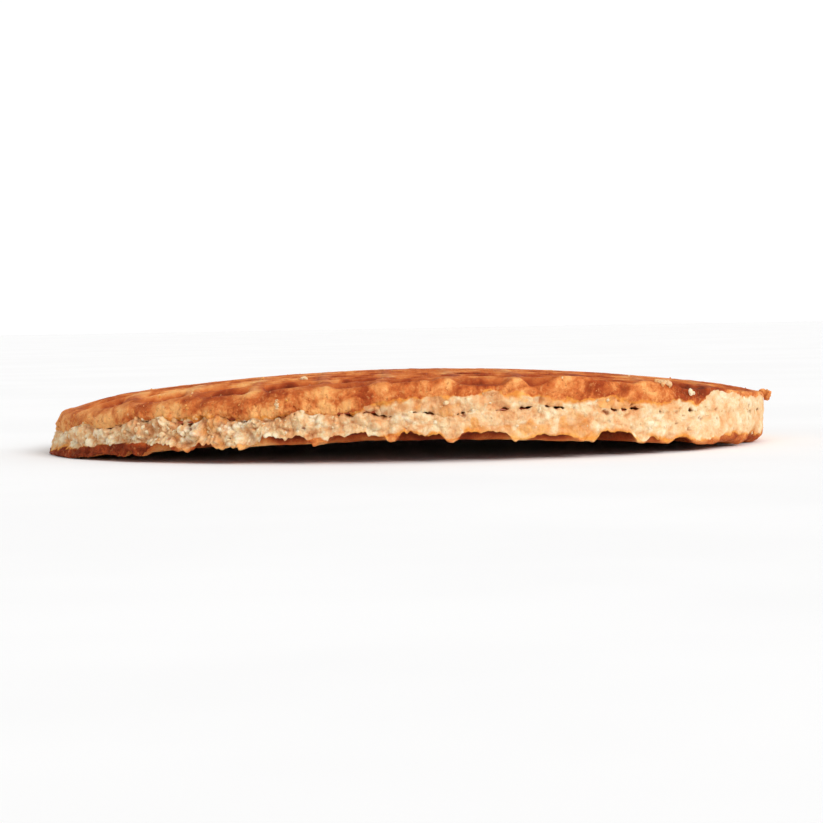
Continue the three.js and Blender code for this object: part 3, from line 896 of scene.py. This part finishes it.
def cut_crumbs(name, wall, count, seed, material, cling=0):
    """Crumbs stuck to the cut, thickest where it broke into clumps, and small
    ones that cling to the baked side above the seam."""
    rng = np.random.default_rng(seed)
    weight = (1 - wall["skin"]) ** 2 * (0.30 + 1.3 * wall["clump"] ** 1.5) * (wall["open"] < 0.05)
    weight = weight * smooth(0.12, 0.40, wall["k"])
    pick = rng.choice(len(weight), size=count, replace=False, p=weight / weight.sum())
    c = wall["clump"][pick]
    size = np.clip(rng.lognormal(0.0, 0.32, count) * (0.12 + 0.14 * c), 0.08, 0.46)
    at = wall["at"][pick] - wall["normal"][pick] * (size * rng.uniform(0.25, 0.60, count))[:, None]
    at[:, 2] = np.maximum(at[:, 2], size * 1.25)
    tone = np.clip(0.45 * wall["tone"][pick] + 0.65 * rng.random(count) + 0.05, 0, 1)
    gold = np.clip(wall["gold"][pick] * rng.uniform(0.2, 1.0, count), 0, 0.6)
    skin = np.zeros(count)
    if cling:
        weight = wall["skin"] * (0.15 + wall["k"] ** 2) * (0.1 + wall["clump"]) * (wall["open"] < 0.05)
        pick = rng.choice(len(weight), size=cling, replace=False, p=weight / weight.sum())
        more = np.clip(rng.lognormal(math.log(0.095), 0.4, cling), 0.05, 0.26)
        size = np.append(size, more)
        at = np.concatenate([at, wall["at"][pick] - wall["normal"][pick] * (more * 0.55)[:, None]])
        tone = np.append(tone, rng.uniform(0.2, 0.9, cling))
        gold = np.append(gold, rng.uniform(0.5, 1.0, cling))
        skin = np.append(skin, np.where(rng.random(cling) < 0.45, 0.75, 0.0))
    return crumb_mesh(name, at, size, tone, gold, skin, seed, material)


# ------------------------------------------------------------------ materials


def ramp(nt, stops, source=None):
    nd = nt.nodes.new("ShaderNodeValToRGB")
    els = nd.color_ramp.elements
    while len(els) < len(stops):
        els.new(0.5)
    for el, (pos, col) in zip(els, stops):
        el.position = pos
        el.color = (*col, 1.0)
    if source is not None:
        nt.links.new(source, nd.inputs["Fac"])
    return nd.outputs["Color"]


def srgb(r, g, b):
    def lin(c):
        c /= 255.0
        return c / 12.92 if c <= 0.04045 else ((c + 0.055) / 1.055) ** 2.4
    return (lin(r), lin(g), lin(b))


def noise(nt, coords, scale_mm, detail=3.0, rough=0.55, distortion=0.0):
    nd = nt.nodes.new("ShaderNodeTexNoise")
    nd.inputs["Scale"].default_value = 1.0 / (scale_mm * MM)
    nd.inputs["Detail"].default_value = detail
    nd.inputs["Roughness"].default_value = rough
    nd.inputs["Distortion"].default_value = distortion
    nt.links.new(coords, nd.inputs["Vector"])
    return nd.outputs["Fac"]


def attribute(nt, name):
    nd = nt.nodes.new("ShaderNodeAttribute")
    nd.attribute_name = name
    return nd.outputs["Fac"]


def maths(nt, op, a, b=None, c=None, clamp=False):
    nd = nt.nodes.new("ShaderNodeMath")
    nd.operation = op
    nd.use_clamp = clamp
    for k, v in enumerate((a, b, c)):
        if v is None:
            continue
        if isinstance(v, (int, float)):
            nd.inputs[k].default_value = v
        else:
            nt.links.new(v, nd.inputs[k])
    return nd.outputs[0]


def step_up(nt, x, lo, hi):
    """0 below lo, 1 above hi, smooth between."""
    nd = nt.nodes.new("ShaderNodeMapRange")
    nd.interpolation_type = "SMOOTHSTEP"
    nd.inputs["From Min"].default_value = lo
    nd.inputs["From Max"].default_value = hi
    nt.links.new(x, nd.inputs["Value"])
    return nd.outputs["Result"]


def blend(nt, fac, a, b, mode="MIX"):
    nd = nt.nodes.new("ShaderNodeMix")
    nd.data_type = "RGBA"
    nd.blend_type = mode
    if isinstance(fac, (int, float)):
        nd.inputs[0].default_value = fac
    else:
        nt.links.new(fac, nd.inputs[0])
    for sock, v in ((nd.inputs[6], a), (nd.inputs[7], b)):
        if isinstance(v, tuple):
            sock.default_value = (*v, 1.0)
        else:
            nt.links.new(v, sock)
    return nd.outputs[2]


def wafer_material(name):
    mat = bpy.data.materials.new(name)
    mat.use_nodes = True
    nt = mat.node_tree
    nt.nodes.clear()
    out = nt.nodes.new("ShaderNodeOutputMaterial")
    sh = nt.nodes.new("ShaderNodeBsdfPrincipled")
    nt.links.new(sh.outputs[0], out.inputs["Surface"])
    co = nt.nodes.new("ShaderNodeTexCoord").outputs["Object"]

    skin = attribute(nt, "skin")
    gold = attribute(nt, "gold")
    shift = attribute(nt, "bake_and_shade")
    painted_shade = attribute(nt, "painted_shade")
    tone = attribute(nt, "tone")
    flat = attribute(nt, "flat")
    curdled = attribute(nt, "curdled")

    # longer round the wafel at its ends, which are seen at a slant
    wide = nt.nodes.new("ShaderNodeMapping")
    wide.inputs["Scale"].default_value = (1.0, 0.52, 1.0)
    nt.links.new(co, wide.inputs["Vector"])
    wide = wide.outputs[0]

    far = nt.nodes.new("ShaderNodeMapping")
    far.inputs["Scale"].default_value = (1.0, 0.42, 1.0)
    nt.links.new(co, far.inputs["Vector"])
    far = far.outputs[0]

    cut = nt.nodes.new("ShaderNodeMapping")
    cut.inputs["Scale"].default_value = (1.0, 0.42, 1.15)
    nt.links.new(co, cut.inputs["Vector"])
    cut = cut.outputs[0]

    patch = noise(nt, far, 5.0, 3.0, 0.55, 0.8)
    mottle = noise(nt, wide, 1.9, 5.0, 0.68, 0.6)
    freckle = noise(nt, wide, 0.48, 3.0, 0.62)
    fine = noise(nt, co, 0.20, 3.0, 0.65)
    grain = noise(nt, wide, 0.34, 4.0, 0.7)
    curd = noise(nt, cut, 1.25, 4.0, 0.60, 0.4)

    # skin: golden on the ridges, deeper brown in the pockets (partly painted shade) and in patches
    bake_and_shade = maths(nt, "ADD", shift, maths(nt, "MULTIPLY_ADD", patch, 1.75, -0.63))
    uneven = maths(nt, "MULTIPLY", maths(nt, "ADD", mottle, -0.5), maths(nt, "MULTIPLY_ADD", flat, -0.95, 1.55))
    bake_and_shade = maths(nt, "ADD", bake_and_shade, uneven)
    # painted shade also deepens the brown of the skin
    bake_and_shade = maths(nt, "ADD", bake_and_shade, maths(nt, "MULTIPLY_ADD", painted_shade, 0.40, 0.02), clamp=True)
    brown = ramp(nt, [(0.00, srgb(236, 172, 106)), (0.18, srgb(220, 140, 78)), (0.40, srgb(197, 105, 52)),
                      (0.66, srgb(158, 67, 31)), (1.00, srgb(106, 38, 18))], bake_and_shade)
    pale_speck = step_up(nt, freckle, 0.57, 0.67)
    dark_speck = step_up(nt, freckle, 0.42, 0.32)
    lively = maths(nt, "MULTIPLY_ADD", flat, -0.30, 0.52)
    faint = maths(nt, "MULTIPLY", lively, maths(nt, "MULTIPLY_ADD", bake_and_shade, -1.1, 1.35), clamp=True)
    brown = blend(nt, maths(nt, "MULTIPLY", pale_speck, faint), brown, srgb(230, 164, 100))
    brown = blend(nt, maths(nt, "MULTIPLY", dark_speck, lively), brown, srgb(138, 62, 28))

    # crumb: cream, toasted gold towards the skin; the brown in the pores is painted shade
    curd = maths(nt, "MULTIPLY", curdled, maths(nt, "MULTIPLY_ADD", curd, 1.10, -0.55))
    light = maths(nt, "MULTIPLY_ADD", tone, 0.60, maths(nt, "MULTIPLY_ADD", grain, 0.40, maths(nt, "ADD", curd, 0.235)))
    pale = ramp(nt, [(0.36, srgb(205, 138, 89)), (0.60, srgb(226, 168, 115)), (0.84, srgb(233, 202, 157)),
                     (1.00, srgb(241, 223, 190))], light)
    toast = ramp(nt, [(0.30, srgb(240, 178, 98)), (0.50, srgb(226, 148, 68)), (0.70, srgb(198, 108, 46))], mottle)
    ragged = maths(nt, "MULTIPLY_ADD", grain, 0.6, -0.3)
    warm = step_up(nt, maths(nt, "ADD", gold, ragged), 0.15, 0.85)
    crust = step_up(nt, maths(nt, "ADD", skin, ragged), 0.30, 0.70)
    colour = blend(nt, warm, pale, toast)
    colour = blend(nt, crust, colour, brown)
    # painted shade: a dark brown mixed in where the painted shade attribute is high, less on the skin
    painted_shade_mix = maths(nt, "MULTIPLY", painted_shade, maths(nt, "MULTIPLY_ADD", crust, -0.5, 0.85))
    colour = blend(nt, painted_shade_mix, colour, srgb(162, 86, 44))
    nt.links.new(colour, sh.inputs["Base Color"])

    rough = maths(nt, "MULTIPLY_ADD", crust, -0.18, 0.85)
    rough = maths(nt, "ADD", rough, maths(nt, "MULTIPLY_ADD", mottle, 0.30, -0.15), clamp=True)
    nt.links.new(rough, sh.inputs["Roughness"])
    sh.inputs["Specular IOR Level"].default_value = 0.05
    sh.inputs["Subsurface Weight"].default_value = 0.16
    sh.inputs["Subsurface Radius"].default_value = (1.0, 0.42, 0.18)
    sh.inputs["Subsurface Scale"].default_value = 0.0006

    bump = nt.nodes.new("ShaderNodeBump")
    bump.inputs["Strength"].default_value = 0.9
    bump.inputs["Distance"].default_value = 0.00016
    height = maths(nt, "ADD", maths(nt, "MULTIPLY", fine, 0.7),
                   maths(nt, "MULTIPLY", grain, maths(nt, "MULTIPLY_ADD", crust, -0.3, 1.5)))
    height = maths(nt, "ADD", height, maths(nt, "MULTIPLY", freckle, 0.5))
    nt.links.new(height, bump.inputs["Height"])
    nt.links.new(bump.outputs[0], sh.inputs["Normal"])
    return mat


def syrup_material():
    mat = bpy.data.materials.new("caramel")
    mat.use_nodes = True
    nt = mat.node_tree
    sh = nt.nodes["Principled BSDF"]
    co = nt.nodes.new("ShaderNodeTexCoord").outputs["Object"]
    colour = ramp(nt, [(0.3, srgb(132, 46, 16)), (0.7, srgb(176, 80, 34))], noise(nt, co, 2.0, 3.0))
    nt.links.new(colour, sh.inputs["Base Color"])
    rough = maths(nt, "MULTIPLY_ADD", noise(nt, co, 0.8, 2.0), 0.25, 0.12)
    nt.links.new(rough, sh.inputs["Roughness"])
    bump = nt.nodes.new("ShaderNodeBump")
    bump.inputs["Strength"].default_value = 0.4
    bump.inputs["Distance"].default_value = 0.0001
    nt.links.new(noise(nt, co, 0.5, 2.0), bump.inputs["Height"])
    nt.links.new(bump.outputs[0], sh.inputs["Normal"])
    return mat


# ------------------------------------------------------------------ build

wafer = wafer_material("baked_wafer")
caramel = syrup_material()

upper_pieces, top_wall = build_half("upper", True, wafer)
lower_pieces, bottom_wall = build_half("lower", False, wafer)
for pieces, node, slot in ((upper_pieces, "wafer_top", "wafer_upper"), (lower_pieces, "wafer_bottom", "wafer_lower")):
    for piece in pieces:
        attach(piece, "root")
        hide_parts(node)


def build_syrup():
    n = 720
    th = np.arange(n) / n * 2 * np.pi
    ring0 = np.stack([44 * np.cos(th), 44 * np.sin(th), np.zeros(n)], 1)
    join = join_radius(th)
    rad = join - 0.62 + 0.12 * vnoise(ring0, 5.0, 81) + 0.08 * vnoise(ring0, 1.5, 82)
    profile = [(1.3, 1.0), (0.5, 1.0), (0.12, 0.75), (0.0, 0.0), (0.12, -0.75), (0.5, -1.0), (1.3, -1.0)]
    verts, quads = [], []
    for k, (inset, side) in enumerate(profile):
        x, y = (rad - inset) * np.cos(th), (rad - inset) * np.sin(th)
        lo = lower_inner(x, y) + SYRUP_CLEARANCE
        hi = upper_inner(x, y) - SYRUP_CLEARANCE
        verts.append(np.stack([x, y, (lo + hi) / 2 + side * (hi - lo) / 2], 1))
        if k:
            quads.append(strips((k - 1) * n, k * n, n, True))
    inner = hexes(40.6, 2.4)
    tri = fill_disc(verts[0][:, :2], inner)
    m = len(inner)
    base = len(profile) * n
    t_top = np.where(tri < n, tri, tri - n + base)
    t_bot = np.where(tri < n, tri + (len(profile) - 1) * n, tri - n + base + m)[:, ::-1]
    x, y = inner[:, 0], inner[:, 1]
    verts.append(np.stack([x, y, upper_inner(x, y) - SYRUP_CLEARANCE], 1))
    verts.append(np.stack([x, y, lower_inner(x, y) + SYRUP_CLEARANCE], 1))
    return make_mesh("caramel_layer", np.concatenate(verts) + PLACE, np.concatenate([t_top, t_bot]),
                     np.concatenate(quads), {}, caramel)


syrup = build_syrup()
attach(syrup, "root")
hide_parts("syrup")

for piece_name, wall, count, cling, seed, slot in (
        ("cut_crumbs_lower", bottom_wall, 560, 0, 901, "wafer_lower"),
        ("cut_crumbs_upper", top_wall, 240, 420, 902, "wafer_upper")):
    piece = cut_crumbs(piece_name, wall, count, seed, wafer, cling)
    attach(piece, "root")

# ------------------------------------------------------------------ loose crumbs
# A few lie where the picture shows them, found by a ray from the camera; the
# rest are scattered over the top, more of them near the rim.

bpy.context.view_layer.update()
view = cam.rotation_quaternion.to_matrix()
ROW_SHIFT = 261.0             # rows between the picture's top wafel and this one


def first_hit(start, along):
    """Where a ray first meets the upper half, in mm, and the normal there."""
    found = [piece.ray_cast(start, along) for piece in upper_pieces]
    found = [(at, normal) for hit, at, normal, _ in found if hit]
    if not found:
        return None
    at, normal = min(found, key=lambda f: (f[0] - start).length)
    return np.array(at) / MM, np.array(normal)


def under_pixel(px, py):
    ray = view @ Vector(((px - FRAME / 2) / CAM_FOCAL, (FRAME / 2 - py - ROW_SHIFT) / CAM_FOCAL, -1.0))
    return first_hit(cam.location, ray.normalized())


def loose_crumbs():
    rng = np.random.default_rng(77)
    at, size, tone, gold, skin = [], [], [], [], []

    def add(p, normal, r, t, g=0.1, s=0.0):
        at.append(p + normal * r * 0.55)
        size.append(r)
        tone.append(t)
        gold.append(g)
        skin.append(s)

    for px, py, r, t, g in ((303, 118.5, 0.38, 0.75, 0.25), (305.5, 118.5, 0.28, 0.7, 0.3),
                            (277, 139.5, 0.18, 0.6, 0.4), (276.5, 141.5, 0.20, 0.6, 0.4), (277, 143.5, 0.22, 0.7, 0.3),
                            (277.5, 145.5, 0.22, 0.7, 0.3), (277, 147.5, 0.20, 0.6, 0.4),
                            (657, 120.5, 0.30, 0.55, 0.45), (660.5, 121, 0.34, 0.6, 0.4), (664, 121.5, 0.38, 0.65, 0.35),
                            (663, 123.5, 0.30, 0.5, 0.5), (667.5, 122.5, 0.36, 0.6, 0.4), (670, 124.5, 0.26, 0.5, 0.5), (690.5, 131.5, 0.33, 0.85, 0.15),
                            (692, 132, 0.31, 0.85, 0.15),
                            (193, 130, 0.16, 0.6, 0.6), (192.5, 132.5, 0.19, 0.6, 0.5), (191, 135, 0.18, 0.5, 0.6),
                            (186, 145, 0.17, 0.5, 0.6), (187.5, 148, 0.20, 0.5, 0.6), (160, 136, 0.16, 0.4, 0.8),
                            (562, 116.5, 0.13, 0.9, 0.2)):
        found = under_pixel(px, py)
        if found:
            add(found[0] - found[1] * r * 0.5, found[1], r, t, g)
    for _ in range(70):
        rr = R * math.sqrt(float(rng.random()))
        if rng.random() < 0.35:
            rr = R - 0.6 - 5.0 * float(rng.random()) ** 1.5
        a = float(rng.random()) * 2 * math.pi
        found = first_hit(Vector(((rr * math.cos(a) + PLACE[0]) * MM, (rr * math.sin(a) + PLACE[1]) * MM, 0.03)),
                          Vector((0, 0, -1)))
        if not found or found[0][2] < 3.5:
            continue
        r = float(np.clip(rng.lognormal(math.log(0.080), 0.45), 0.05, 0.22))
        add(found[0], found[1], r, float(rng.uniform(0.2, 0.7)), float(rng.uniform(0.2, 0.9)),
            0.7 if rng.random() < 0.12 else 0.0)
    return crumb_mesh("loose_crumbs", np.array(at), size, tone, gold, skin, 903, wafer)


crumbs = loose_crumbs()
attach(crumbs, "root")


def corner_crumb():
    """The brown crumb that stands out at the upper right corner of the rim."""
    a = math.radians(-4)
    r = float(outline(np.array([a]), True)[0])
    x, y = r * math.cos(a), r * math.sin(a)
    found = first_hit(Vector(((x + PLACE[0] - 0.9) * MM, (y + PLACE[1]) * MM, 0.03)), Vector((0, 0, -1)))
    z = found[0][2] if found else 9.0
    at = np.array([[x + 0.58, y, z - 0.50], [x + 0.02, y - 0.2, z - 0.28], [x + 0.15, y + 0.6, z - 0.55]]) + PLACE
    return crumb_mesh("corner_crumb", at, [0.66, 0.50, 0.48], [0.4, 0.3, 0.5], [1, 1, 1], [0.9, 0.8, 1.0], 905, wafer)


nub = corner_crumb()
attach(nub, "root")

# ------------------------------------------------------------------ stage


def stage():
    n, rings = 96, [0.0, 0.15, 0.4, 0.9, 1.6, 2.4, 3.2]
    verts = [(0.0, 0.0, 0.0)]
    for r in rings[1:]:
        for i in range(n):
            a = 2 * math.pi * i / n
            verts.append((r * math.cos(a), r * math.sin(a), 0.0))
    faces = [(0, 1 + i, 1 + (i + 1) % n) for i in range(n)]
    for k in range(1, len(rings) - 1):
        a, b = 1 + (k - 1) * n, 1 + k * n
        faces += [(a + i, b + i, b + (i + 1) % n, a + (i + 1) % n) for i in range(n)]
    me = bpy.data.meshes.new("floor")
    me.from_pydata(verts, [], faces)
    ob = bpy.data.objects.new("floor", me)
    bpy.context.scene.collection.objects.link(ob)
    mat = bpy.data.materials.new("pale_floor")
    mat.use_nodes = True
    nt = mat.node_tree
    sh = nt.nodes["Principled BSDF"]
    co = nt.nodes.new("ShaderNodeTexCoord").outputs["Object"]
    nt.links.new(ramp(nt, [(0.4, (0.90, 0.90, 0.90)), (0.6, (0.92, 0.92, 0.92))], noise(nt, co, 60.0)),
                 sh.inputs["Base Color"])
    sh.inputs["Roughness"].default_value = 0.95
    sh.inputs["Specular IOR Level"].default_value = 0.05
    me.materials.append(mat)
    return ob


stage()

scene = bpy.context.scene
scene.view_settings.view_transform = "Standard"
world = bpy.data.worlds.new("studio")
scene.world = world
world.use_nodes = True
wt = world.node_tree
bg = wt.nodes["Background"]
# an even pale backdrop near the horizon; overhead, brighter to the right and
# in front, as the window light of the picture is
sep = wt.nodes.new("ShaderNodeSeparateXYZ")
wt.links.new(wt.nodes.new("ShaderNodeTexCoord").outputs["Generated"], sep.inputs[0])
up = step_up(wt, sep.outputs["Z"], 0.12, 0.55)
side = maths(wt, "ADD", maths(wt, "MULTIPLY", sep.outputs["X"], 0.62), maths(wt, "MULTIPLY", sep.outputs["Y"], -0.55))
dome = maths(wt, "MULTIPLY_ADD", side, 0.60, 0.80)
HORIZON = 1.02
strength = maths(wt, "MULTIPLY_ADD", up, maths(wt, "SUBTRACT", dome, HORIZON), HORIZON)
wt.links.new(strength, bg.inputs["Strength"])
bg.inputs["Color"].default_value = (1.0, 1.0, 1.0, 1.0)


sun = bpy.data.lights.new("key", "SUN")
sun.energy = 1.64
sun.angle = math.radians(24)
sun.color = (1.0, 0.99, 0.98)
key = bpy.data.objects.new("key", sun)
key.rotation_mode = "QUATERNION"
key.rotation_quaternion = Vector((-0.50, 0.68, -0.46)).to_track_quat("-Z", "Y")
scene.collection.objects.link(key)

# ------------------------------------------------------------------ finish

bpy.context.view_layer.update()
